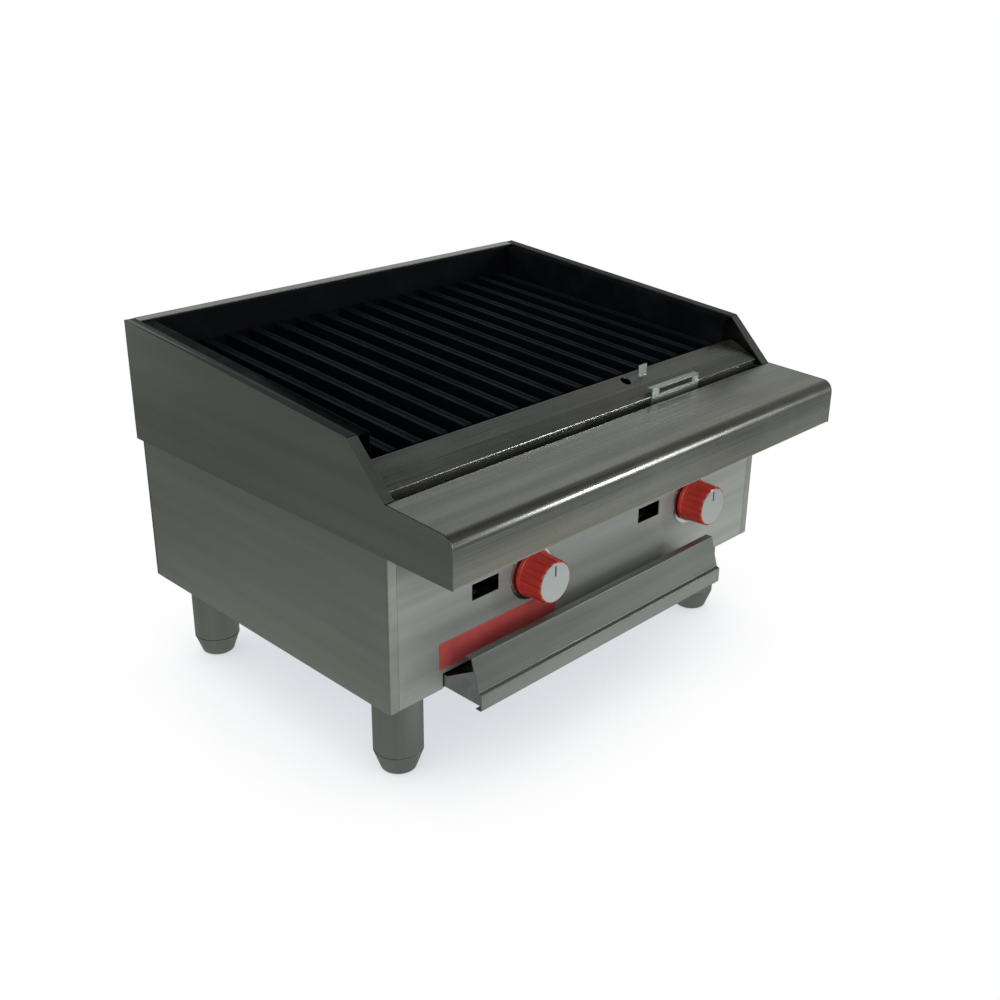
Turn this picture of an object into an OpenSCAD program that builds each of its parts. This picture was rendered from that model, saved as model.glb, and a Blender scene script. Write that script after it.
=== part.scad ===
// Countertop gas charbroiler with cast-iron grates, radiants and a pull-out grease drawer.
// Millimetres. +X is the cook's right, +Y the back and +Z up. The origin lies on the counter,
// in the middle of the footprint.

/* [Overall] */
// Width over the splash guard
unit_w = 609.6; // [600:0.1:620]
// From the origin to the shelf's front, and to the gas inlet's end
reach = 274; // [270:0.5:280]
// Clear height under the body
leg_h = 101.6; // [100:0.1:104]
// Thickness of the folded outer sheets
sheet = 1.2; // [1:0.1:1.4]
// Outer radius of the folds in those sheets
bend_r = 2; // [1.5:0.1:2.4]

/* [Body] */
// Step of the splash guard outside the lower body, on each side
splash_step = 4.8; // [3:0.1:6]
// Outer face of the control panel
front_y = -181; // [-182:0.5:-180]
// Outer face of the rear panel
back_y = 239; // [237:0.5:240]
// Height of the lower body's hidden top edge
body_top = 300; // [290:1:304]
// Width of the side panels' returns beside the control panel
front_return = 12; // [8:1:16]

/* [Splash guard] */
// Lower edge of the splash guard
band_z = 273; // [268:1:276]
// Top of the rim at the back
rim_back_z = 411; // [405:1:414]
// Height of the rim where it turns down to the shelf
kink_z = 376.4; // [372:0.1:380]
// Place of that turn
kink_y = -136.5; // [-137:0.5:-136]
// Width of the folded-in rim
rim_w = 12; // [10:0.5:14]

/* [Shelf] */
// Rear edge of the shelf
shelf_back_y = -186.2; // [-187:0.1:-186]
// Height of the shelf's top where it would meet its front face
shelf_z = 322.4; // [321:0.1:325]
// Radius of the rounded nose
nose_r = 13; // [9:0.5:15]

/* [Grates] */
// Number of grate sections
sections = 4; // [4:1:4]
// Width of one grate section
section_w = 133.35; // [130:0.05:134]
// Pitch from one section to the next
section_pitch = 134.35; // [134.3:0.05:134.6]
// Bars in one section
bars = 4; // [3:1:6]
// Width of a bar's top
bar_w = 12; // [8:0.5:14]
// Depth of a bar
bar_h = 25; // [20:0.5:26]
// Height of the grates' top at their front edge
grate_z = 350; // [348:0.5:351]
// Fall of the grates towards the front, in degrees
grate_tilt = 4.3; // [4:0.1:4.5]
// Length of a grate
grate_len = 358; // [350:1:359]

/* [Burners] */
// Height of the valves, the mixers and the burner tubes
gas_z = 188; // [187:0.5:189]
// Outer radius of a burner tube
tube_r = 16; // [14:0.5:17]
// Rise of a radiant from its eaves to its ridge
radiant_h = 40; // [30:1:44]

/* [Controls] */
// Places of the two knobs across the panel
knob_x = [-105, 168]; // [-106:1:169]
// Radius of a knob at its base
knob_r = 26; // [23:0.5:27]
// Number of flutes round a knob's grip
flutes = 16; // [8:1:20]
// Places of the two lighting windows
window_x = [-171, 92]; // [-172:1:93]
// Size of a lighting window
window_size = [38, 18]; // [16:1:40]

/* [Drawer] */
// Left and right edges of the drawer front
drawer_x = [-231, 162]; // [-232:1:163]
// Height of the drawer front's lower edge
drawer_low = 100; // [99:0.5:101]
// Height of the drawer front's top edge
drawer_high = 154; // [148:0.5:156]
// Height of the drawer pan's walls inside the body
pan_high = 117; // [112:0.5:117.5]

/* [Legs] */
// Distance of the legs' axes from the middle
leg_x = 253; // [248:1:258]
// Places of the front and rear legs
leg_y = [-137, 195]; // [-138:1:196]
// Radius of a leg
leg_r = 26.5; // [24:0.5:28]
// Height of a foot's tapered part
foot_h = 24; // [20:0.5:26]

/* [Hidden] */
$fn = 48;

// Gap between parts that move past each other.
slip = 0.3;

// Outer sheets.
half_w = unit_w / 2;
skin_x = half_w - sheet;
body_x = half_w - splash_step;
rim_x = skin_x - rim_w + sheet;
band_back_y = back_y + splash_step;
floor_z = leg_h + sheet;
rim_slope = (rim_back_z - kink_z) / (band_back_y - kink_y);
ledge_z = band_z + 40;
ledge_y = -172;
rear_screw_x = body_x - 9;
rear_screw_z = [125, 190, 255];

// Firebox.
liner = 1.5;
liner_x = 277;
liner_y = [-136.5, 228];
chute_z = [150, 185];
chute_low_z = 121;
radiant_seat_z = 238;
radiant_half = 58;
radiant_t = 3;
grate_y = liner_y[0] + 0.5;

// Gas train.
pipe_r = 13.335;
pipe_bore_r = 10.46;
manifold_y = -162;
manifold_z = gas_z - 22.7;
inlet_x = 230;
inlet_z = 125;
inlet_thread = 28;
mixer_face_y = -141;
mixer_r = 22;
cross_y = -78;
cross_r = 17;
stem_r = 4;
window_z = 194;
pilot_y = -114;
pilot_z = manifold_z + pipe_r + 4;
knob_base_y = front_y - 3;
knob_len = 31.5;

// Trough.
gutter_y = -177;

// Drawer.
pan_x = [drawer_x[0] + 2, drawer_x[1] - 2];
pan_low = floor_z + 1.3;
pan_back_y = 195;
face_top_y = -222;
lip_y = -236;
lip_z = 118;

// Height of the rim's top over a place y; in front of the kink it falls at 45 degrees.
function rim_z(y) = y > kink_y ? kink_z + (y - kink_y) * rim_slope : kink_z - kink_y + y;

// Height of the grates' underside over a place y.
function grate_under(y) = grate_z - bar_h / cos(grate_tilt) + (y - grate_y) * tan(grate_tilt);

// Middle of grate section i, which is also the middle of its radiant and burner tube.
function section_x(i) = (i - (sections - 1) / 2) * section_pitch;

// Unit normal on the left of the step from a to b.
function left_normal(a, b) = [a[1] - b[1], b[0] - a[0]] / norm(b - a);

// The corner of a folded sheet's far side at point i of its path.
function mitre(path, i, t) =
    let (last = len(path) - 1)
    let (before = left_normal(path[max(i, 1) - 1], path[max(i, 1)]))
    let (after = left_normal(path[min(i, last - 1)], path[min(i, last - 1) + 1]))
    path[i] + (before + after) * t / (1 + before * after);

// Outline of a sheet of thickness t folded along a path, with the metal on the path's left.
function fold(path, t) =
    concat(path, [for (i = [len(path) - 1 : -1 : 0]) mitre(path, i, t)]);

// Arc of radius r that rounds corner p, from direction u to direction v.
function arc(p, u, v, r) =
    let (turn = acos(u * v))
    let (d = r * tan(turn / 2))
    let (centre = p + (v - u) * d / (1 - u * v))
    let (steps = ceil(turn / 15))
    [for (k = [0 : steps])
        centre + (p - u * d - centre) * sin(turn * (1 - k / steps)) / sin(turn)
        + (p + v * d - centre) * sin(turn * k / steps) / sin(turn)];

// A path with its inner corners rounded, each with its own radius.
function bend(path, radii) =
    [for (i = [0 : len(path) - 1])
        each i == 0 || i == len(path) - 1 ? [path[i]] : arc(
            path[i],
            (path[i] - path[i - 1]) / norm(path[i] - path[i - 1]),
            (path[i + 1] - path[i]) / norm(path[i + 1] - path[i]),
            radii[min(i, len(radii)) - 1])];

// Outline of a sheet of thickness t whose folds have an outer radius of bend_r.
function folded(path, t) = fold(bend(path, [bend_r]), t);

// A (y, z) outline extruded from x0 to x1.
module along_x(x0, x1, outline) {
    translate([x0, 0, 0])
        rotate([90, 0, 90])
            linear_extrude(x1 - x0)
                polygon(outline);
}

// An (x, z) outline extruded from y0 to y1.
module along_y(y0, y1, outline) {
    translate([0, y1, 0])
        rotate([90, 0, 0])
            linear_extrude(y1 - y0)
                polygon(outline);
}

// A box between its lowest and highest corners.
module block(low, high) {
    translate(low)
        cube(high - low);
}

module rod_x(y, z, x0, x1, r) {
    translate([x0, y, z])
        rotate([0, 90, 0])
            cylinder(h = x1 - x0, r = r);
}

module rod_y(x, z, y0, y1, r) {
    translate([x, y0, z])
        rotate([-90, 0, 0])
            cylinder(h = y1 - y0, r = r);
}

module rod_z(x, y, z0, z1, r) {
    translate([x, y, z0])
        cylinder(h = z1 - z0, r = r);
}

// Puts a part drawn for the left side on the side asked for.
module on_side(side) {
    mirror([side == "right" ? 1 : 0, 0, 0])
        children();
}

module base_plate() {
    color("dimgray")
    difference() {
        block([sheet - body_x, front_y + sheet, leg_h], [body_x - sheet, back_y - sheet, floor_z]);
        for (x = [-leg_x, leg_x], y = leg_y)
            rod_z(x, y, leg_h - 1, floor_z + 1, 5);
    }
}

// Lower side: a sheet folded round the front and the back corner, with a flange at its foot.
// Its back flange stops above the floor sheet.
module side_panel(side) {
    inner = sheet - body_x;
    path = [[inner + 14, back_y - sheet], [-body_x, back_y - sheet], [-body_x, front_y],
            [front_return - body_x, front_y]];
    color("darkslategray")
    on_side(side)
    difference() {
        union() {
            translate([0, 0, leg_h])
                linear_extrude(body_top - leg_h)
                    polygon(folded(path, sheet));
            block([inner - slip, front_y + sheet, floor_z],
                  [inner + 14, back_y - 2 * sheet, floor_z + sheet]);
        }
        block([inner, back_y - 3 * sheet, leg_h - 1], [inner + 15, back_y - sheet + 1, floor_z]);
        for (z = rear_screw_z)
            rod_y(-rear_screw_x, z, back_y - 10, back_y + 1, 2.1);
    }
}

module rear_panel() {
    color("gray")
    difference() {
        block([-body_x, back_y - sheet, leg_h], [body_x, back_y, body_top]);
        rod_y(inlet_x, inlet_z, back_y - 5, back_y + 5, pipe_r + 1.5);
        for (x = [-rear_screw_x, rear_screw_x], z = rear_screw_z)
            rod_y(x, z, back_y - 5, back_y + 5, 2.1);
    }
}

// Control panel, with the drawer opening, the stem holes and the lighting windows.
module front_panel() {
    edge = body_x - front_return - slip;
    color("lightslategray")
    difference() {
        block([-edge, front_y, leg_h], [edge, front_y + sheet, ledge_z - sheet]);
        block([pan_x[0] - 1.5, front_y - 5, leg_h - 1], [pan_x[1] + 1.5, front_y + 5, pan_high + 2]);
        for (x = knob_x)
            rod_y(x, gas_z, front_y - 5, front_y + 5, 8);
        for (x = window_x)
            translate([x - window_size[0] / 2, front_y - 5, window_z - window_size[1] / 2])
                cube([window_size[0], 10, window_size[1]]);
    }
}

// Splash guard side and shelf end in one sheet, with its rim folded in along the top.
module splash_side(side) {
    outline = concat(
        [[band_back_y, band_z]],
        bend([[band_back_y, rim_back_z], [kink_y, kink_z], [shelf_back_y, rim_z(shelf_back_y)],
              [-reach, shelf_z], [-reach, band_z]], [3, 3, nose_r]));
    rim = bend([[band_back_y - sheet, rim_z(band_back_y - sheet)], [kink_y, kink_z],
                [shelf_back_y, rim_z(shelf_back_y)]], [3]);
    color("darkslategray")
    on_side(side)
    union() {
        along_x(-half_w, -skin_x, outline);
        along_x(-skin_x - 0.1, -rim_x, fold(rim, sheet));
        block([-skin_x - 0.1, front_y, band_z], [-body_x, back_y, band_z + sheet]);
    }
}

module splash_rear() {
    rim = [[band_back_y, rim_back_z],
           [band_back_y - rim_w, rim_z(band_back_y - rim_w)]];
    color("silver")
    union() {
        block([-skin_x, band_back_y - sheet, band_z], [skin_x, band_back_y, rim_back_z - sheet / 2]);
        along_x(-rim_x, rim_x, fold(rim, sheet));
        block([-body_x, back_y, band_z], [body_x, band_back_y, band_z + sheet]);
    }
}

// Landing ledge: one sheet from the trough's seat over the nose to the hem under the front.
module shelf() {
    path = [[ledge_y, ledge_z], [shelf_back_y, ledge_z], [shelf_back_y, rim_z(shelf_back_y)],
            [-reach, shelf_z], [-reach, band_z], [16 - reach, band_z]];
    color("slategray")
    along_x(-skin_x, skin_x, fold(bend(path, [bend_r, bend_r, nose_r, bend_r]), sheet));
}

// Height just under the folded rim, with room for the metal.
function under_rim(y) = rim_z(y) - 1.2 * sheet;

// Firebox side wall with a top flange that closes the gap out to the splash guard.
module liner_side(side, low_z) {
    flange = [[liner_y[1] + liner, under_rim(liner_y[1] + liner)],
              [liner_y[0], under_rim(liner_y[0])]];
    wall = [[liner_y[0], low_z], [liner_y[1], low_z],
            [liner_y[1], under_rim(liner_y[1])], [liner_y[0], under_rim(liner_y[0])]];
    color("black")
    on_side(side)
    union() {
        along_x(-liner_x - liner, -liner_x, wall);
        along_x(-skin_x, -liner_x, fold(flange, liner));
    }
}

// Outline of the firebox's cross-section: the two chutes' slopes below, a level top.
function firebox_outline(top_z) = [
    [-liner_x - liner, chute_z[0] - liner], [pan_x[0] + 7, chute_low_z],
    [pan_x[1] - 7, chute_low_z], [liner_x + liner, chute_z[1] - liner],
    [liner_x + liner, top_z], [-liner_x - liner, top_z]];

module liner_rear() {
    flange = [[band_back_y - sheet - 0.2, under_rim(band_back_y - sheet - 0.2)],
              [liner_y[1] + liner, under_rim(liner_y[1] + liner)]];
    color("black")
    union() {
        along_y(liner_y[1], liner_y[1] + liner,
                firebox_outline(under_rim(liner_y[1]) - liner + 0.2));
        along_x(-liner_x, liner_x, fold(concat(flange, [[liner_y[1], under_rim(liner_y[1])]]), liner));
    }
}

// Firebox front wall, with the mixers' and the lighting holes and a lip under the trough.
module liner_front() {
    lip_z = grate_z - 12.5;
    color("black")
    difference() {
        union() {
            along_y(liner_y[0] - liner, liner_y[0], firebox_outline(lip_z));
            block([-liner_x, liner_y[0] - 7, lip_z - liner], [liner_x, liner_y[0], lip_z]);
        }
        for (x = knob_x)
            rod_y(x, gas_z, liner_y[0] - 5, liner_y[0] + 5, mixer_r + 0.5);
        for (x = window_x)
            rod_y(x, window_z - 2, liner_y[0] - 5, liner_y[0] + 5, 14);
    }
}

// Slope from a firebox side wall down to the drawer's edge.
module grease_chute(wall_x, wall_z, edge_x) {
    high = [wall_x, wall_z];
    low = [edge_x, chute_low_z];
    path = wall_x < 0 ? [high, low] : [low, high];
    color("dimgray")
    along_y(liner_y[0], liner_y[1], fold(path, sheet));
}

// Two angles along the front and the rear wall, with a seat of a given height function.
module wall_angles(front_seat, rear_seat, seat_w) {
    front = [[liner_y[0] + seat_w, front_seat[1]], [liner_y[0], front_seat[0]],
             [liner_y[0], front_seat[0] - 16]];
    rear = [[liner_y[1], rear_seat[1] - 16], [liner_y[1], rear_seat[1]],
            [liner_y[1] - seat_w, rear_seat[0]]];
    along_x(-liner_x, liner_x, fold(front, 2));
    along_x(-liner_x, liner_x, fold(rear, 2));
}

module radiant_rails() {
    color("dimgray")
    wall_angles([radiant_seat_z, radiant_seat_z], [radiant_seat_z, radiant_seat_z], 18);
}

module grate_rails() {
    seat_w = 18;
    color("dimgray")
    wall_angles(
        [grate_under(liner_y[0]) - slip, grate_under(liner_y[0] + seat_w) - slip],
        [grate_under(liner_y[1] - seat_w) - slip, grate_under(liner_y[1]) - slip], seat_w);
}

// Angle on the rear wall that carries the rear ends of the burner tubes.
module burner_rest() {
    half = section_x(sections - 1) + tube_r + 8;
    seat_z = gas_z - tube_r;
    color("dimgray")
    along_x(-half, half, fold(
        [[liner_y[1], seat_z - 11], [liner_y[1], seat_z], [liner_y[1] - 32, seat_z]], 2));
}

// Cast-iron roof over one burner tube, slotted on both slopes.
module radiant(i) {
    slots = 9;
    slot_pitch = (liner_y[1] - liner_y[0] - 40) / slots;
    color("dimgray")
    translate([section_x(i), 0, radiant_seat_z])
    difference() {
        along_y(liner_y[0] + 4, liner_y[1] - 4,
                fold([[-radiant_half, 0], [0, radiant_h], [radiant_half, 0]], radiant_t));
        for (s = [0 : slots - 1])
            translate([-radiant_half, liner_y[0] + 20 + (s + 0.25) * slot_pitch, radiant_h * 0.3])
                cube([2 * radiant_half, slot_pitch / 2, radiant_h * 0.3]);
    }
}

// One cast-iron grate section: grooved bars on cross rails, sloping down to the front.
module grate(i) {
    pitch = section_w / bars;
    bar = [[-bar_w / 2, 0], [-2, 0], [0, -1.5], [2, 0], [bar_w / 2, 0],
           [bar_w / 4, -bar_h], [-bar_w / 4, -bar_h]];
    color("black")
    translate([section_x(i) - section_w / 2, grate_y, grate_z])
    rotate([grate_tilt, 0, 0])
    union() {
        for (b = [0 : bars - 1])
            translate([(b + 0.5) * pitch, 0, 0])
                along_y(0, grate_len, bar);
        for (y = [0, (grate_len - 8) / 3, (grate_len - 8) * 2 / 3, grate_len - 8])
            block([0, y, -bar_h], [section_w, y + 8, 12 - bar_h]);
    }
}

// Cast-iron burner: a mixer in line with its valve, a cross tube and two ported tubes.
module burner(k) {
    x0 = section_x(2 * k);
    x1 = section_x(2 * k + 1);
    back = liner_y[1] - 22;
    ports = 13;
    color("dimgray")
    difference() {
        union() {
            rod_y(knob_x[k], gas_z, mixer_face_y, -112, mixer_r);
            rod_y(knob_x[k], gas_z, mixer_face_y - 3.5, mixer_face_y, 8);
            translate([knob_x[k], -112, gas_z])
                rotate([-90, 0, 0])
                    cylinder(h = 24, r1 = mixer_r, r2 = 13);
            rod_x(cross_y, gas_z, x0 - cross_r, x1 + cross_r, cross_r);
            for (x = [x0, x1])
                rod_y(x, gas_z, cross_y, back, tube_r);
        }
        rod_y(knob_x[k], gas_z, mixer_face_y - 5, mixer_face_y + 5, 6);
        shutter_holes(k, mixer_face_y - 1, mixer_face_y + 4);
        rod_y(knob_x[k], gas_z, mixer_face_y + 2.5, -112, mixer_r - 3);
        translate([knob_x[k], -112, gas_z])
            rotate([-90, 0, 0])
                cylinder(h = 34, r1 = mixer_r - 3, r2 = 9);
        rod_x(cross_y, gas_z, x0 - cross_r + 4, x1 + cross_r - 4, cross_r - 4);
        for (x = [x0, x1])
            rod_y(x, gas_z, cross_y, back - 4, tube_r - 4);
        for (x = [x0, x1], lean = [-32, 32], p = [0 : ports - 1])
            translate([x, cross_y + 30 + p * (back - cross_y - 50) / (ports - 1), gas_z])
                rotate([0, lean, 0])
                    cylinder(h = tube_r + 2, r = 1.75);
    }
}

// Four air holes round mixer k.
module shutter_holes(k, y0, y1) {
    for (a = [0 : 90 : 270])
        rod_y(knob_x[k] + 14.5 * cos(a), gas_z + 14.5 * sin(a), y0, y1, 5);
}

// Disc that turns on the mixer's boss to open and close its air holes.
module air_shutter(k) {
    color("silver")
    difference() {
        union() {
            rod_y(knob_x[k], gas_z, mixer_face_y - 1.8, mixer_face_y - slip, mixer_r);
            block([knob_x[k] - 4, mixer_face_y - 1.8, gas_z + mixer_r - 2],
                  [knob_x[k] + 4, mixer_face_y - slip, gas_z + mixer_r + 7]);
        }
        rod_y(knob_x[k], gas_z, mixer_face_y - 5, mixer_face_y + 5, 8.06);
        shutter_holes(k, mixer_face_y - 5, mixer_face_y + 5);
    }
}

// Cross pipe behind the control panel that feeds the valves and the pilots.
module manifold() {
    left = window_x[0] - 20;
    color("slategray")
    difference() {
        rod_x(manifold_y, manifold_z, left, inlet_x - 14, pipe_r);
        rod_x(manifold_y, manifold_z, left + 4, inlet_x, pipe_bore_r);
        for (x = knob_x)
            rod_z(x, manifold_y, manifold_z, gas_z, 6.6);
        for (x = window_x)
            rod_z(x, manifold_y, manifold_z, gas_z, 3.1);
    }
}

// Two elbows, one above the other, that take the gas from the inlet pipe up to the manifold.
module pipe_elbows() {
    middle = (manifold_z + inlet_z) / 2;
    color("dimgray") {
        difference() {
            union() {
                translate([inlet_x, manifold_y, manifold_z])
                    sphere(r = 17);
                rod_x(manifold_y, manifold_z, inlet_x - 28, inlet_x, 17);
                rod_z(inlet_x, manifold_y, middle + 0.1, manifold_z, 17);
            }
            rod_x(manifold_y, manifold_z, inlet_x - 29, inlet_x - 14, pipe_r + 0.06);
            rod_x(manifold_y, manifold_z, inlet_x - 15, inlet_x, pipe_bore_r);
            rod_z(inlet_x, manifold_y, middle - 1, manifold_z, pipe_bore_r);
        }
        difference() {
            union() {
                translate([inlet_x, manifold_y, inlet_z])
                    sphere(r = 17);
                rod_y(inlet_x, inlet_z, manifold_y, manifold_y + 28, 17);
                rod_z(inlet_x, manifold_y, inlet_z, middle, 17);
            }
            rod_y(inlet_x, inlet_z, manifold_y + 14, manifold_y + 29, pipe_r + 0.06);
            rod_y(inlet_x, inlet_z, manifold_y, manifold_y + 15, pipe_bore_r);
            rod_z(inlet_x, manifold_y, inlet_z, middle + 1, pipe_bore_r);
        }
    }
}

// Pipe from the elbows out through the rear panel; a groove marks the end of its outer thread.
module gas_inlet_pipe() {
    thread_y = reach - inlet_thread;
    color("slategray")
    difference() {
        union() {
            rod_y(inlet_x, inlet_z, manifold_y + 14, thread_y - 2, pipe_r);
            rod_y(inlet_x, inlet_z, thread_y - 2.5, thread_y + 0.5, pipe_r - 1);
            rod_y(inlet_x, inlet_z, thread_y, reach, pipe_r);
        }
        rod_y(inlet_x, inlet_z, manifold_y + 13, reach + 1, pipe_bore_r);
    }
}

// Brass valve: a barrel in line with its burner, on a nipple in the manifold.
module valve(k) {
    color("goldenrod")
    difference() {
        union() {
            rod_y(knob_x[k], gas_z, -174, -152, 9);
            rod_z(knob_x[k], manifold_y, manifold_z + 6, gas_z, 6.5);
        }
        rod_y(knob_x[k], gas_z, -175, -157, stem_r + 0.05);
    }
}

module orifices() {
    color("gold")
    for (x = knob_x)
        difference() {
            union() {
                rod_y(x, gas_z, -152, -148, 6.5);
                rod_y(x, gas_z, -148, mixer_face_y, 5);
            }
            rod_y(x, gas_z, -153, mixer_face_y - 2, 3);
            rod_y(x, gas_z, mixer_face_y - 3, mixer_face_y + 1, 1);
        }
}

module valve_stem(k) {
    color("silver")
    rod_y(knob_x[k], gas_z, knob_base_y - 24, -157.5, stem_r);
}

// Red knob body: a skirt, a slightly tapered, fluted grip and a recess for its face.
module knob(k) {
    grip_r = knob_r - 1.5;
    front_r = knob_r - 2.5;
    profile = [[stem_r, 0], [knob_r, 0], [knob_r, 4], [grip_r, 5], [front_r, knob_len - 1.5],
               [front_r - 1, knob_len - 0.3], [knob_r - 4.5, knob_len - 0.3],
               [knob_r - 4.5, knob_len - 1.5], [0, knob_len - 1.5], [0, 24], [stem_r, 24]];
    color("red")
    translate([knob_x[k], knob_base_y, gas_z])
        rotate([90, 0, 0])
            difference() {
                rotate_extrude()
                    polygon(profile);
                for (a = [0 : 360 / flutes : 359])
                    rotate([0, 0, a])
                        translate([knob_r + 1.1, 0, 5])
                            cylinder(h = knob_len, r = 3);
            }
}

module knob_face(k) {
    color("silver")
    rod_y(knob_x[k], gas_z, knob_base_y - knob_len, knob_base_y - knob_len + 1.5, knob_r - 4.6);
}

module knob_bezels() {
    color("gainsboro")
    for (x = knob_x)
        difference() {
            rod_y(x, gas_z, front_y - 1.5, front_y, knob_r + 4);
            rod_y(x, gas_z, front_y - 2, front_y + 1, 8);
        }
}

module pilot_valves() {
    color("goldenrod")
    for (x = window_x) {
        block([x - 6, manifold_y - 6, manifold_z + pipe_r + 0.1],
              [x + 6, manifold_y + 6, pilot_z + 4]);
        rod_z(x, manifold_y, manifold_z + 6, manifold_z + pipe_r + 0.2, 3);
    }
}

module pilot_tubes() {
    color("silver")
    for (x = window_x)
        difference() {
            rod_y(x, pilot_z, manifold_y + 6, pilot_y - 7, 2.4);
            rod_y(x, pilot_z, manifold_y + 5, pilot_y - 6, 1.6);
        }
}

module pilot_tips() {
    color("goldenrod")
    for (x = window_x)
        difference() {
            union() {
                rod_z(x, pilot_y, pilot_z - 5, gas_z + 16, 4.5);
                rod_y(x, pilot_z, pilot_y - 7, pilot_y, 3.6);
            }
            rod_z(x, pilot_y, gas_z, gas_z + 17, 2.5);
        }
}

// Removable apron in front of the grates that ends in a narrow gutter behind the shelf.
module trough() {
    x = rim_x - 2;
    gutter_z = ledge_z + 1.4;
    wall_y = shelf_back_y + 1.6;
    path = [[liner_y[0] - 2.1, grate_z - 12], [liner_y[0] - 2.1, grate_z], [-161, 340.5],
            [gutter_y, 332], [gutter_y, gutter_z], [wall_y, gutter_z], [wall_y, 325]];
    color("gray")
    difference() {
        union() {
            along_x(-x, x, fold(bend(path, [1.5]), 1));
            for (end = [-x, x - 1])
                block([end, wall_y - 0.2, gutter_z - 0.2], [end + 1, gutter_y + 0.2, 325]);
        }
        rod_z(78, -149, 330, 360, 6);
    }
}

// Lift grip on the gutter's rear wall, and a small upright tab near the apron's finger hole.
module trough_handle() {
    grip_x = [88, 173];
    grip_top = 341;
    color("silver") {
        difference() {
            union() {
                block([grip_x[0], gutter_y - 2, grip_top - 21], [grip_x[1], gutter_y, grip_top]);
                block([grip_x[0], gutter_y - 2, grip_top - 1.5],
                      [grip_x[1], gutter_y + 6, grip_top]);
            }
            block([grip_x[0] + 12, gutter_y - 3, grip_top - 8],
                  [grip_x[1] - 12, gutter_y + 1, grip_top - 2.5]);
        }
        block([99, -150.4, 345.6], [113, -149, 359]);
    }
}

// Inner face of the drawer front at height z.
function face_inner_y(z) =
    face_top_y + 1.3 + (drawer_high - z) * (lip_y + 4 - face_top_y) / (drawer_high - lip_z);

// Shallow tray whose side walls rise to the drawer front outside the body.
module drawer_pan() {
    front = lip_y + sheet;
    cheek = [[pan_back_y, pan_low], [pan_back_y, pan_high], [front_y - 4, pan_high],
             [face_inner_y(140), 140], [face_inner_y(lip_z + 2), lip_z + 2],
             [front, lip_z - 1.5], [front, pan_low]];
    color("gray")
    union() {
        block([pan_x[0], front, pan_low], [pan_x[1], pan_back_y, pan_low + 1]);
        block([pan_x[0], pan_back_y - 1, pan_low], [pan_x[1], pan_back_y, pan_high]);
        along_x(pan_x[0], pan_x[0] + 1, cheek);
        along_x(pan_x[1] - 1, pan_x[1], cheek);
    }
}

// Drawer front: a leaning face with a hem at its top and a grip lip below a fold.
module drawer_front() {
    path = [[face_top_y + 8, drawer_high], [face_top_y, drawer_high], [lip_y + 4, lip_z + 1.3],
            [lip_y, lip_z], [lip_y, drawer_low], [lip_y + 8, drawer_low]];
    color("lightslategray")
    along_x(drawer_x[0], drawer_x[1], folded(path, sheet));
}

// Two angles on the floor that guide the drawer pan.
module drawer_runners() {
    seat = floor_z + 1;
    color("dimgray")
    for (edge = [[pan_x[0], -1], [pan_x[1], 1]])
        union() {
            block([edge[0] + min(edge[1] * 1.6, -edge[1] * 14), front_y + 4, floor_z],
                  [edge[0] + max(edge[1] * 1.6, -edge[1] * 14), pan_back_y + 5, seat]);
            block([edge[0] + min(edge[1] * 0.5, edge[1] * 1.6), front_y + 4, floor_z],
                  [edge[0] + max(edge[1] * 0.5, edge[1] * 1.6), pan_back_y + 5, floor_z + 14]);
        }
}

module name_plate() {
    color("firebrick")
    block([-235, front_y - 1.2, 125], [-66, front_y, 154]);
}

// Four tubular legs, each with a web that holds its foot's screw and a lid that is bolted on.
module legs() {
    color("gray")
    for (x = [-leg_x, leg_x], y = leg_y)
        difference() {
            rod_z(x, y, foot_h + slip, leg_h, leg_r);
            rod_z(x, y, foot_h - 1, 58, leg_r - 2.2);
            rod_z(x, y, 57, 69, 8.05);
            rod_z(x, y, 68, 95, leg_r - 2.2);
            rod_z(x, y, 94, leg_h + 1, 4.8);
        }
}

// Tapered foot on its screw.
module foot(x, y) {
    profile = [[0, 0], [17, 0], [19, 1.5], [leg_r - 0.5, foot_h - 3], [leg_r, foot_h - 2],
               [leg_r, foot_h], [8, foot_h], [8, 92], [0, 92]];
    color("gray")
    translate([x, y, 0])
        rotate_extrude()
            polygon(profile);
}

module leg_bolts() {
    color("silver")
    for (x = [-leg_x, leg_x], y = leg_y)
        union() {
            rod_z(x, y, 93.5, floor_z + 0.1, 4.76);
            translate([x, y, floor_z])
                cylinder(h = 6, r = 8.2, $fn = 6);
        }
}

module rear_screws() {
    color("silver")
    for (x = [-rear_screw_x, rear_screw_x], z = rear_screw_z)
        union() {
            rod_y(x, z, back_y, back_y + 2.2, 4);
            rod_y(x, z, back_y - 6, back_y + 0.1, 2);
        }
}

base_plate();
side_panel("left");  // side_panel_left
side_panel("right");  // side_panel_right
rear_panel();
front_panel();
splash_side("left");  // splash_left
splash_side("right");  // splash_right
splash_rear();
shelf();
liner_side("left", chute_z[0]);  // liner_left
liner_side("right", chute_z[1]);  // liner_right
liner_rear();
liner_front();
grease_chute(-liner_x, chute_z[0], pan_x[0] + 7);  // grease_chute_left
grease_chute(liner_x, chute_z[1], pan_x[1] - 7);  // grease_chute_right
radiant_rails();
grate_rails();
burner_rest();
radiant(0);  // radiant_1
radiant(1);  // radiant_2
radiant(2);  // radiant_3
radiant(3);  // radiant_4
grate(0);  // grate_1
grate(1);  // grate_2
grate(2);  // grate_3
grate(3);  // grate_4
burner(0);  // burner_left
burner(1);  // burner_right
air_shutter(0);  // air_shutter_left
air_shutter(1);  // air_shutter_right
manifold();
pipe_elbows();
gas_inlet_pipe();
valve(0);  // valve_left
valve(1);  // valve_right
orifices();
valve_stem(0);  // valve_stem_left
valve_stem(1);  // valve_stem_right
knob(0);  // knob_left
knob(1);  // knob_right
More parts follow.
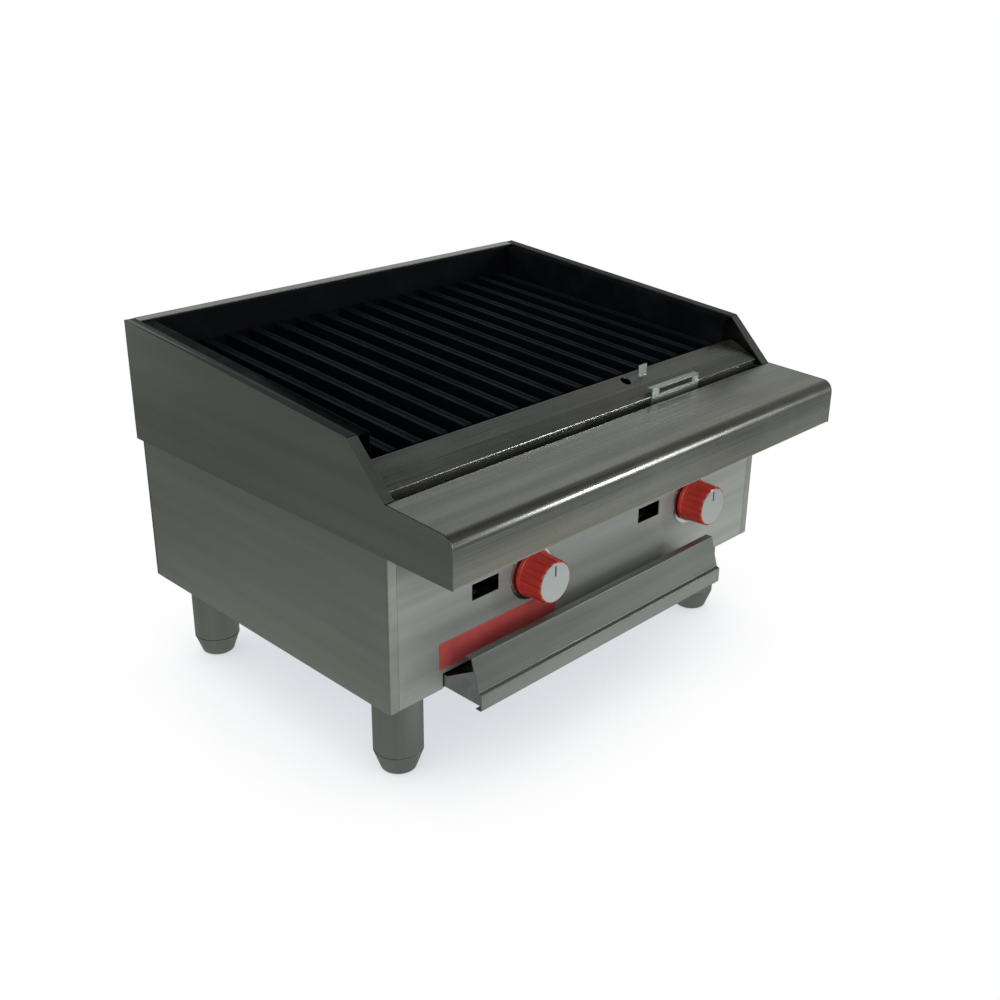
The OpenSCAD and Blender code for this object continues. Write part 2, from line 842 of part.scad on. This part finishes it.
knob_face(0);  // knob_face_left
knob_face(1);  // knob_face_right
knob_bezels();
pilot_valves();
pilot_tubes();
pilot_tips();
trough();
trough_handle();
drawer_pan();
drawer_front();
drawer_runners();
name_plate();
legs();
foot(-leg_x, leg_y[0]);  // foot_front_left
foot(leg_x, leg_y[0]);  // foot_front_right
foot(-leg_x, leg_y[1]);  // foot_rear_left
foot(leg_x, leg_y[1]);  // foot_rear_right
leg_bolts();
rear_screws();
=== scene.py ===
"""Looks of the countertop charbroiler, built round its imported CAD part.

Metres in the part's own frame: +X is the cook's right, +Y the back and +Z up.
"""

import math

import bmesh
import bpy
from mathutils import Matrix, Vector


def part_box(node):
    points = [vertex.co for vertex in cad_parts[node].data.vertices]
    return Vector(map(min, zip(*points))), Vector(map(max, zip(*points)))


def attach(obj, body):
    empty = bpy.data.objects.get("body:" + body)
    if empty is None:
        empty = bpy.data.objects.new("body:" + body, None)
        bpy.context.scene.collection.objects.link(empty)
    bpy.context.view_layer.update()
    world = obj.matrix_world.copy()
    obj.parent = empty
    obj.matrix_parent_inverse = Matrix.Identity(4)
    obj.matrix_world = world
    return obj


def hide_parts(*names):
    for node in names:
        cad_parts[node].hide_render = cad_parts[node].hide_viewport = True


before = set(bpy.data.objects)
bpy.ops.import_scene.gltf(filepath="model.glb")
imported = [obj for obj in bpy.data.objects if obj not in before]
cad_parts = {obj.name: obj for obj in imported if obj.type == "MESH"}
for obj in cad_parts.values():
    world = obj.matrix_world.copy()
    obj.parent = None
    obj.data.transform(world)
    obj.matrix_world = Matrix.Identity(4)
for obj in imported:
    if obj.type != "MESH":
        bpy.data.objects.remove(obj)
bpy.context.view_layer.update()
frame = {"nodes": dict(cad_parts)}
nodes = frame["nodes"]

MM = 0.001
SIDES = ("left", "right")
GRATES = range(1, 5)
FEET = ("foot_front_left", "foot_front_right", "foot_rear_left", "foot_rear_right")


# ---------------------------------------------------------------- materials


def add_node(tree, kind, inputs=None, **settings):
    """A new node in a tree. An input given as a socket is linked, and any other value is set."""
    made = tree.nodes.new(kind)
    for key, value in settings.items():
        setattr(made, key, value)
    for key, value in (inputs or {}).items():
        if isinstance(value, bpy.types.NodeSocket):
            tree.links.new(value, made.inputs[key])
        else:
            made.inputs[key].default_value = value
    return made


class Graph:
    """The node tree of one material, with textures that lie in the part's frame."""

    def __init__(self, name):
        self.material = bpy.data.materials.new(name)
        self.material.use_nodes = True
        self.tree = self.material.node_tree
        self.tree.nodes.clear()
        self.place = self.node("ShaderNodeTexCoord").outputs["Object"]

    def node(self, kind, inputs=None, **settings):
        return add_node(self.tree, kind, inputs, **settings)

    def noise(self, scale, detail=3, rough=0.55, seed=0, place=None):
        """Noise from 0 to 1, with that many features a metre along each axis of the place."""
        stretched = self.node(
            "ShaderNodeVectorMath", {0: place or self.place, 1: scale}, operation="MULTIPLY"
        )
        moved = self.node(
            "ShaderNodeVectorMath", {0: stretched.outputs[0], 1: (seed, seed * 1.7, seed * 2.3)}
        )
        made = self.node(
            "ShaderNodeTexNoise",
            {"Vector": moved.outputs[0], "Scale": 1, "Detail": detail, "Roughness": rough},
        )
        return made.outputs["Fac"]

    def spread(self, value, low, high, to_low, to_high):
        """value stretched from low...high to to_low...to_high, and held there."""
        made = self.node(
            "ShaderNodeMapRange",
            {
                "Value": value,
                "From Min": low,
                "From Max": high,
                "To Min": to_low,
                "To Max": to_high,
            },
            interpolation_type="SMOOTHSTEP",
        )
        return made.outputs["Result"]

    def maths(self, operation, *values):
        made = self.node("ShaderNodeMath", dict(enumerate(values)), operation=operation)
        return made.outputs[0]

    def blend(self, share, first, second):
        """Colour first at share 0 and second at share 1."""
        made = self.node(
            "ShaderNodeMix", {0: share, 6: as_colour(first), 7: as_colour(second)}, data_type="RGBA"
        )
        return made.outputs[2]

    def split(self):
        """The place's x, y and z."""
        made = self.node("ShaderNodeSeparateXYZ", {0: self.place})
        return made.outputs["X"], made.outputs["Y"], made.outputs["Z"]

    def upright(self):
        """How far the face points up: 1 on a level top, 0 on a wall."""
        normal = self.node("ShaderNodeNewGeometry").outputs["Normal"]
        return self.node("ShaderNodeSeparateXYZ", {0: normal}).outputs["Z"]

    def grain(self, axis):
        """A place whose x runs along the grain, and whose y and z run across it.

        On a folded sheet brushed along x or y, only the direction that lies in the face counts.
        """
        x, y, z = self.split()
        if axis == "z":
            return self.node("ShaderNodeCombineXYZ", {0: z, 1: x, 2: y}).outputs[0]
        lies_flat = self.maths("GREATER_THAN", self.maths("ABSOLUTE", self.upright()), 0.5)
        along, level = (x, y) if axis == "x" else (y, x)
        across = self.node("ShaderNodeMix", {0: lies_flat, 2: z, 3: level}).outputs[0]
        return self.node("ShaderNodeCombineXYZ", {0: along, 1: across}).outputs[0]

    def bump(self, height, distance, strength=1.0, under=None):
        inputs = {"Height": height, "Distance": distance, "Strength": strength}
        if under is not None:
            inputs["Normal"] = under
        return self.node("ShaderNodeBump", inputs).outputs["Normal"]

    def finish(self, colour, roughness, metallic=0.0, normal=None, **extra):
        inputs = {
            "Base Color": as_colour(colour),
            "Roughness": roughness,
            "Metallic": metallic,
        }
        if normal is not None:
            inputs["Normal"] = normal
        inputs.update(extra)
        shader = self.node("ShaderNodeBsdfPrincipled", inputs)
        output = self.node("ShaderNodeOutputMaterial", {"Surface": shader.outputs[0]})
        output.is_active_output = True
        return self.material


def as_colour(value):
    """A grey level or an (r, g, b) as the four numbers that a colour socket takes."""
    if isinstance(value, bpy.types.NodeSocket):
        return value
    if isinstance(value, (int, float)):
        return (value, value, value, 1)
    return (*value, 1)


def brushed_steel(name, colour, axis, rough=0.4, streaks=0.06, warm=None, metallic=1.0, rim=None):
    """Steel brushed along an axis: fine scratches, long streaks and faint handling marks.

    warm is the colour of its stains, and rim the colour of the top edges that heat has darkened.
    """
    g = Graph(name)
    grain = g.grain(axis)
    scratches = g.noise((5, 900, 900), detail=2, place=grain)
    streak = g.noise((1.6, 38, 38), detail=4, seed=4, place=grain)
    smudge = g.noise((7, 7, 7), detail=4, seed=9)
    dark = tuple(c * (1 - streaks) for c in colour)
    light = tuple(min(1, c * (1 + streaks)) for c in colour)
    tint = g.blend(g.spread(streak, 0.35, 0.65, 0, 1), dark, light)
    if warm:
        stain = g.noise((2.2, 9, 9), detail=4, seed=14, place=grain)
        tint = g.blend(g.spread(stain, 0.42, 0.7, 0, 1), tint, warm)
    if rim:
        tint = g.blend(g.spread(g.upright(), 0.7, 0.9, 0, 1), tint, rim)
    worn = g.spread(smudge, 0.4, 0.7, -0.05, 0.05)
    fine = g.spread(scratches, 0.3, 0.7, -0.06, 0.06)
    roughness = g.maths("ADD", g.maths("ADD", fine, worn), rough)
    normal = g.bump(scratches, 0.00005, 0.5)
    return g.finish(tint, roughness, metallic, normal)


def cast_iron(name, colour, burnish):
    """Rough black castings, a little burnished where their faces point up."""
    g = Graph(name)
    grit = g.noise((420, 420, 420), detail=4, rough=0.7)
    lumps = g.noise((60, 60, 60), detail=3, seed=3)
    patch = g.noise((16, 16, 16), detail=3, seed=7)
    up = g.spread(g.upright(), 0.85, 0.99, 0, 1)
    worn = g.maths("MULTIPLY", up, g.spread(patch, 0.35, 0.65, 0.35, 1))
    tint = g.blend(worn, g.blend(patch, colour, tuple(c * 1.8 for c in colour)), burnish)
    roughness = g.spread(worn, 0, 1, 0.66, 0.5)
    normal = g.bump(lumps, 0.0008, 0.35, g.bump(grit, 0.0003, 0.35))
    return g.finish(tint, roughness, 0.0, normal, **{"Specular IOR Level": 0.1})


def dull_metal(name, colour, rough):
    """Pipe with a mottled, dull skin."""
    g = Graph(name)
    mottle = g.noise((38, 38, 38), detail=4, rough=0.65)
    fine = g.noise((600, 600, 600), detail=2, seed=5)
    tint = g.blend(g.spread(mottle, 0.35, 0.65, 0, 1), tuple(c * 0.78 for c in colour), colour)
    roughness = g.spread(mottle, 0.3, 0.7, rough - 0.08, rough + 0.1)
    return g.finish(tint, roughness, 0.9, g.bump(fine, 0.00008, 0.4))


def galvanised_sheet(name, colour):
    """Zinc-coated sheet: crystals of slightly different greys under a cloudy, dull skin."""
    g = Graph(name)
    crystals = g.node("ShaderNodeTexVoronoi", {"Vector": g.place, "Scale": 95}).outputs["Color"]
    crystal = g.node("ShaderNodeSeparateColor", {0: crystals}).outputs[0]
    cloud = g.noise((14, 14, 14), detail=4, rough=0.6)
    shade = g.maths("ADD", g.maths("MULTIPLY", crystal, 0.6), g.maths("MULTIPLY", cloud, 0.5))
    tint = g.blend(g.spread(shade, 0.1, 1.0, 0, 1), tuple(c * 0.76 for c in colour), colour)
    fine = g.noise((600, 600, 600), detail=2, seed=5)
    roughness = g.spread(shade, 0.1, 1.0, 0.34, 0.5)
    return g.finish(tint, roughness, 0.92, g.bump(fine, 0.00006, 0.4))


def heat_black(name):
    """Matt, heat-blackened sheet with greyer patches."""
    g = Graph(name)
    soot = g.noise((22, 22, 22), detail=5, rough=0.6)
    tint = g.blend(g.spread(soot, 0.4, 0.75, 0, 1), (0.0025, 0.003, 0.005), (0.006, 0.007, 0.010))
    roughness = g.spread(soot, 0.3, 0.7, 0.55, 0.75)
    return g.finish(tint, roughness, 0.0, g.bump(soot, 0.0004, 0.2), **{"Specular IOR Level": 0.12})


def satin_red(name, colour, rough):
    """Moulded or enamelled red with a soft sheen and a faint orange-peel."""
    g = Graph(name)
    peel = g.noise((260, 260, 260), detail=2)
    shade = g.noise((30, 30, 30), detail=3, seed=2)
    tint = g.blend(g.spread(shade, 0.3, 0.7, 0, 1), tuple(c * 0.82 for c in colour), colour)
    roughness = g.spread(shade, 0.3, 0.7, rough - 0.05, rough + 0.07)
    return g.finish(tint, roughness, 0.0, g.bump(peel, 0.00008, 0.5), **{"Coat Weight": 0.25})


def turned_metal(name, colour, rough):
    """Machined brass or bright steel with fine turning marks."""
    g = Graph(name)
    marks = g.noise((900, 900, 900), detail=2)
    cloud = g.noise((40, 40, 40), detail=3, seed=6)
    tint = g.blend(g.spread(cloud, 0.3, 0.7, 0, 1), tuple(c * 0.8 for c in colour), colour)
    roughness = g.spread(cloud, 0.3, 0.7, rough, rough + 0.14)
    return g.finish(tint, roughness, 1.0, g.bump(marks, 0.00005, 0.5))


def knob_disc(name, knob_x, knob_z):
    """Spun silver face with a black pointer line between its middle and its upper edge."""
    half_width = 1.0 * MM
    inner_end = 6.5 * MM
    outer_end = 18.0 * MM
    g = Graph(name)
    x, _, z = g.split()
    out_x = g.maths("SUBTRACT", x, knob_x)
    out_z = g.maths("SUBTRACT", z, knob_z)
    radius = g.maths("SQRT", g.maths("ADD", g.maths("POWER", out_x, 2), g.maths("POWER", out_z, 2)))
    rings = g.node(
        "ShaderNodeTexNoise",
        {"W": g.maths("MULTIPLY", radius, 2600), "Scale": 1, "Detail": 2},
        noise_dimensions="1D",
    ).outputs["Fac"]
    across = g.spread(g.maths("ABSOLUTE", out_x), half_width, half_width + 0.3 * MM, 1, 0)
    above = g.spread(out_z, inner_end, inner_end + 0.5 * MM, 0, 1)
    below = g.spread(out_z, outer_end, outer_end + 0.5 * MM, 1, 0)
    line = g.maths("MULTIPLY", across, g.maths("MULTIPLY", above, below))
    silver = g.blend(g.spread(rings, 0.3, 0.7, 0, 1), (0.50, 0.54, 0.55), (0.64, 0.68, 0.69))
    tint = g.blend(line, silver, 0.012)
    metallic = g.maths("SUBTRACT", 0.85, g.maths("MULTIPLY", line, 0.85))
    roughness = g.spread(rings, 0.3, 0.7, 0.3, 0.42)
    return g.finish(tint, roughness, metallic, g.bump(rings, 0.00004, 0.4))


STEEL_FRONT = (0.44, 0.47, 0.45)
# The drawer front is the panel's steel made darker: painted shade for the dark that its face
# reflects.
STEEL_DRAWER_SHADED = (0.30, 0.315, 0.30)
STEEL_TOP = (0.42, 0.43, 0.40)
STEEL_SIDE = (0.50, 0.515, 0.475)
STEEL_SPLASH = (0.37, 0.385, 0.355)
HEAT_DARKENED = (0.04, 0.042, 0.04)
STAINED = (0.42, 0.39, 0.32)
finishes = {
    "side_y": brushed_steel("side_steel_y", STEEL_SIDE, "y"),
    "splash_y": brushed_steel("splash_steel_y", STEEL_SPLASH, "y", rim=HEAT_DARKENED),
    "front_x": brushed_steel("front_steel_x", STEEL_FRONT, "x", 0.5, 0.11, metallic=0.3),
    "drawer_x": brushed_steel("drawer_steel_painted_shade_x", STEEL_DRAWER_SHADED, "x", 0.4, 0.11, metallic=0.85),
    "top_x": brushed_steel("top_steel_x", STEEL_TOP, "x", 0.29, 0.15, warm=STAINED),
    "rim_x": brushed_steel("rim_steel_x", (0.68, 0.72, 0.69), "x", rough=0.38),
    "leg_z": brushed_steel("leg_steel_z", (0.40, 0.415, 0.39), "z", rough=0.42),
    "galvanised": galvanised_sheet("galvanised", (0.50, 0.51, 0.52)),
    "black_pipe": dull_metal("black_pipe", (0.06, 0.06, 0.06), 0.5),
    "tube": turned_metal("aluminium_tube", (0.72, 0.73, 0.74), 0.3),
    "liner": heat_black("black_liner"),
    "iron": cast_iron("cast_iron", (0.002, 0.003, 0.006), (0.006, 0.007, 0.010)),
    "brass": turned_metal("brass", (0.62, 0.44, 0.18), 0.26),
    "sooty_brass": turned_metal("sooty_brass", (0.05, 0.04, 0.025), 0.5),
    "bright": turned_metal("bright_steel", (0.75, 0.76, 0.77), 0.2),
    "knob_red": satin_red("knob_red", (0.86, 0.055, 0.038), 0.36),
    "plate_red": satin_red("plate_red", (0.72, 0.12, 0.112), 0.42),
}


# ---------------------------------------------------------------- CAD nodes


def paint(node, material):
    """Gives a CAD node one material."""
    mesh = nodes[node].data
    mesh.materials.clear()
    mesh.materials.append(material)


def dress(node, bevel):
    """Shades a CAD node smoothly and rounds its edges by bevel metres. Its own mesh stays."""
    made = nodes[node]
    for polygon in made.data.polygons:
        polygon.use_smooth = True
    weld = made.modifiers.new("weld", "WELD")
    weld.merge_threshold = 0.01 * MM
    flat = made.modifiers.new("flat", "DECIMATE")
    flat.decimate_type = "DISSOLVE"
    flat.angle_limit = math.radians(0.6)
    if bevel:
        edge = made.modifiers.new("edge", "BEVEL")
        edge.width = bevel
        edge.segments = 2
        edge.limit_method = "ANGLE"
        edge.angle_limit = math.radians(38)
        edge.harden_normals = True
    made.modifiers.new("normals", "WEIGHTED_NORMAL").keep_sharp = True


PAINTED = {
    "side_y": ["side_panel_left", "side_panel_right"],
    "splash_y": ["splash_left", "splash_right"],
    "front_x": ["front_panel"],
    "drawer_x": ["drawer_front"],
    "top_x": ["shelf", "trough"],
    "rim_x": ["splash_rear", "trough_handle"],
    "leg_z": ["legs", *FEET],
    "galvanised": [
        "base_plate",
        "rear_panel",
        "grease_chute_left",
        "grease_chute_right",
        "air_shutter_left",
        "air_shutter_right",
        "drawer_pan",
        "drawer_runners",
    ],
    "black_pipe": ["manifold", "pipe_elbows", "gas_inlet_pipe"],
    "tube": ["pilot_tubes"],
    "liner": [
        "liner_left",
        "liner_right",
        "liner_rear",
        "liner_front",
        "radiant_rails",
        "grate_rails",
        "burner_rest",
    ],
    "iron": [
        *[f"radiant_{i}" for i in GRATES],
        *[f"grate_{i}" for i in GRATES],
        "burner_left",
        "burner_right",
    ],
    "brass": ["valve_left", "valve_right", "orifices"],
    "sooty_brass": ["pilot_valves", "pilot_tips"],
    "bright": ["valve_stem_left", "valve_stem_right", "leg_bolts", "rear_screws", "knob_bezels"],
    "plate_red": ["name_plate"],
}
for finish, painted in PAINTED.items():
    for node in painted:
        paint(node, finishes[finish])

# How far each piece's edges are rounded: grates and radiants most, sheets least, the rest not.
EDGES = dict.fromkeys(nodes, 0)
for finish in ("side_y", "splash_y", "front_x", "drawer_x", "top_x", "galvanised", "plate_red"):
    EDGES.update(dict.fromkeys(PAINTED[finish], 0.3 * MM))
EDGES["splash_rear"] = 0.3 * MM
for node in (*FEET, "legs", "gas_inlet_pipe", "trough_handle", "leg_bolts"):
    EDGES[node] = 0.5 * MM
for i in GRATES:
    EDGES[f"radiant_{i}"] = 0.8 * MM
    EDGES[f"grate_{i}"] = 0.8 * MM
for node, bevel in EDGES.items():
    dress(node, bevel)


# ---------------------------------------------------------------- knobs


def lathe(name, rings, centre, radius_at, count=192):
    """A closed mesh of rings (radius, distance out) about the -Y axis through centre.

    radius_at(radius, out, turn) gives each point's own radius. A ring of radius 0 is a point.
    """
    shape = bmesh.new()
    loops = []
    for radius, out in rings:
        if radius == 0:
            loops.append([shape.verts.new(centre + Vector((0, -out, 0)))])
            continue
        loop = []
        for k in range(count):
            turn = 2 * math.pi * k / count
            r = radius_at(radius, out, turn)
            point = Vector((r * math.cos(turn), -out, r * math.sin(turn)))
            loop.append(shape.verts.new(centre + point))
        loops.append(loop)
    for first, second in zip(loops, loops[1:]):
        for k in range(count):
            after = (k + 1) % count
            if len(first) == 1:
                shape.faces.new((first[0], second[k], second[after]))
            elif len(second) == 1:
                shape.faces.new((first[k], second[0], first[after]))
            else:
                shape.faces.new((first[k], second[k], second[after], first[after]))
    bmesh.ops.recalc_face_normals(shape, faces=shape.faces)
    mesh = bpy.data.meshes.new(name)
    shape.to_mesh(mesh)
    shape.free()
    for polygon in mesh.polygons:
        polygon.use_smooth = True
    made = bpy.data.objects.new(name, mesh)
    bpy.context.scene.collection.objects.link(made)
    return made


def build_knob(side):
    """Fluted red knob, with rounded edges and a recess for its face.

    Its outline is given in millimetres, as radius and distance out from the panel's side.
    """
    low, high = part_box(f"knob_{side}")
    centre = Vector(((low.x + high.x) / 2, high.y, (low.z + high.z) / 2))
    skirt = (high.x - low.x) / 2
    length = high.y - low.y
    flutes = 16
    flute_depth = 1.8 * MM
    skirt_high = 5 * MM
    grip_inset = 3.6 * MM

    def fluted(radius, out, turn):
        if radius < skirt - grip_inset:
            return radius
        starts = min(1, max(0, (out - skirt_high) / (3 * MM)))
        ends = min(1, max(0, (length - out) / (1.2 * MM)))
        groove = max(0, math.cos(turn * flutes)) ** 1.5
        return radius - flute_depth * starts * (0.4 + 0.6 * ends) * groove

    profile = [(0, 24), (3.9, 24), (4.0, 23.7), (4.0, 0.3), (4.3, 0)]
    profile += [(25.2, 0), (25.8, 0.3), (26, 0.9), (26, 3.2), (25.8, 3.8), (25.2, 4.2)]
    profile += [(24.8, 4.6), (24.5, 5.2), (24.4, 7), (24.3, 9)]
    profile += [(24.3 - 0.043 * step, 9 + step) for step in range(2, 20, 2)]
    profile += [(23.5, 29), (23.4, 30), (23.1, 30.7), (22.6, 31.1), (22, 31.2), (21.7, 31.0)]
    profile += [(21.5, 30.6), (21.5, 30), (0, 30)]
    rings = [(radius * MM, out * MM) for radius, out in profile]
    made = lathe(f"knob_body_{side}", rings, centre, fluted)
    made.data.materials.append(finishes["knob_red"])
    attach(made, f"knob_{side}")
    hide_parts(f"knob_{side}")
    return centre


for side in SIDES:
    middle = build_knob(side)
    paint(f"knob_face_{side}", knob_disc(f"knob_disc_{side}", middle.x, middle.z))


# ---------------------------------------------------------------- studio


def build_floor():
    """Pale floor: white where the camera sees it, with a painted soft shadow near what stands on it.

    All other rays see it glow with painted light: dim, with a bright strip along the front and a
    pool behind on the right.
    """
    g = Graph("studio_floor")
    # Painted shadow: the white darkens where ambient occlusion finds the part close by.
    shade = g.node("ShaderNodeAmbientOcclusion", {"Distance": 0.2}, samples=8).outputs["AO"]
    tint = g.blend(g.spread(shade, 0.0, 0.9, 0, 1), (0.56, 0.59, 0.64), (1.0, 1.0, 1.0))
    seen = g.node("ShaderNodeEmission", {"Color": tint, "Strength": 1.0})
    # Painted light: for every ray but the camera's, the floor glows in a bright strip, a pool and a
    # dim rest.
    x, y, _ = g.split()
    far = g.node("ShaderNodeVectorMath", {0: g.place}, operation="LENGTH").outputs["Value"]
    strip_ahead = 0.47
    off_strip = g.maths("ABSOLUTE", g.maths("ADD", y, strip_ahead))
    strip = g.spread(off_strip, 0.08, 0.26, 0.54, 0)
    strip = g.maths("MULTIPLY", strip, g.spread(x, -0.5, 0.1, 0, 1))
    strip = g.maths("MULTIPLY", strip, g.spread(x, 0.4, 0.9, 1, 0.5))
    pool = g.spread(g.maths("ADD", x, y), 0.35, 0.9, 0, 0.26)
    dim = g.spread(far, 0.3, 1.0, 0.25, 0.14)
    level = g.maths("ADD", g.maths("ADD", strip, pool), dim)
    mirrored = g.node("ShaderNodeEmission", {"Color": (0.98, 1.0, 0.95, 1), "Strength": level})
    camera = g.node("ShaderNodeLightPath").outputs["Is Camera Ray"]
    mixed = g.node("ShaderNodeMixShader", {0: camera, 1: mirrored.outputs[0], 2: seen.outputs[0]})
    g.node("ShaderNodeOutputMaterial", {"Surface": mixed.outputs[0]})
    mesh = bpy.data.meshes.new("floor")
    half = 12
    corners = [(-half, -half, 0), (half, -half, 0), (half, half, 0), (-half, half, 0)]
    mesh.from_pydata(corners, [], [(0, 1, 2, 3)])
    made = bpy.data.objects.new("floor", mesh)
    made.location.z = -0.4 * MM
    bpy.context.scene.collection.objects.link(made)
    mesh.materials.append(g.material)


def build_world():
    """White for the camera, even for soft light, and dim with a few glows for reflections."""
    world = bpy.data.worlds.new("studio")
    world.use_nodes = True
    bpy.context.scene.world = world
    tree = world.node_tree
    tree.nodes.clear()

    def add(kind, inputs=None, **settings):
        return add_node(tree, kind, inputs, **settings)

    def lobe(direction, low, high, strength):
        """A glow round a direction: none at the cosine low, and its full strength at high."""
        along = add("ShaderNodeVectorMath", {0: heading, 1: direction}, operation="DOT_PRODUCT")
        ramp = add(
            "ShaderNodeMapRange",
            {"Value": along.outputs["Value"], "From Min": low, "From Max": high, "To Max": strength},
            interpolation_type="SMOOTHSTEP",
        )
        return ramp.outputs["Result"]

    heading = add("ShaderNodeTexCoord").outputs["Generated"]
    lobes = [
        lobe((0.64, -0.77, 0.03), 0.6, 1.0, 0.06),
        lobe((0.48, 0.84, 0.25), 0.6, 1.0, 0.24),
        lobe((-0.95, -0.25, 0.2), 0.4, 1.0, 0.12),
        lobe((0.97, 0.2, 0.14), 0.75, 1.0, 0.18),
        lobe((0.0, 0.14, 0.99), 0.85, 1.0, 0.22),
    ]
    level = 0.06
    for each in lobes:
        level = add("ShaderNodeMath", {0: level, 1: each}, operation="ADD").outputs[0]
    path = add("ShaderNodeLightPath")
    mirrored = add("ShaderNodeBackground", {"Color": (0.96, 1.0, 0.98, 1), "Strength": level})
    soft = add("ShaderNodeBackground", {"Color": (1, 1, 1, 1), "Strength": 0.75})
    seen = add("ShaderNodeBackground", {"Color": (1, 1, 1, 1), "Strength": 1.0})
    glossy = add(
        "ShaderNodeMixShader",
        {0: path.outputs["Is Glossy Ray"], 1: soft.outputs[0], 2: mirrored.outputs[0]},
    )
    all_rays = add(
        "ShaderNodeMixShader",
        {0: path.outputs["Is Camera Ray"], 1: glossy.outputs[0], 2: seen.outputs[0]},
    )
    add("ShaderNodeOutputWorld", {"Surface": all_rays.outputs[0]})


def add_light(name, place, target, size, power, colour=(1, 1, 1)):
    """A rectangular light of size (wide, high) metres at a place, turned to its target."""
    data = bpy.data.lights.new(name, "AREA")
    data.shape = "RECTANGLE"
    data.size, data.size_y = size
    data.energy = power
    data.color = colour
    made = bpy.data.objects.new(name, data)
    made.location = place
    made.rotation_euler = (Vector(target) - Vector(place)).to_track_quat("-Z", "Y").to_euler()
    bpy.context.scene.collection.objects.link(made)


def build_camera():
    """Looks down at the part from its front left."""
    data = bpy.data.cameras.new("camera")
    data.sensor_width = 36
    data.lens = 43.86
    data.shift_x = 0.0348
    data.shift_y = -0.0178
    made = bpy.data.objects.new("camera", data)
    made.location = (-0.9401, -0.9415, 0.7614)
    made.rotation_euler = (math.radians(67.23), 0, math.radians(-44.24))
    bpy.context.scene.collection.objects.link(made)
    bpy.context.scene.camera = made


build_floor()
build_world()
add_light("edge", (1.5, -1.75, 0.62), (0, -0.2, 0.3), (0.12, 0.5), 4.5, (0.95, 1.0, 0.97))
add_light("front", (-0.7, -1.9, 1.0), (0, -0.2, 0.2), (0.8, 0.8), 6)
build_camera()

scene = bpy.context.scene
scene.view_settings.view_transform = "Standard"
scene.cycles.seed = 7
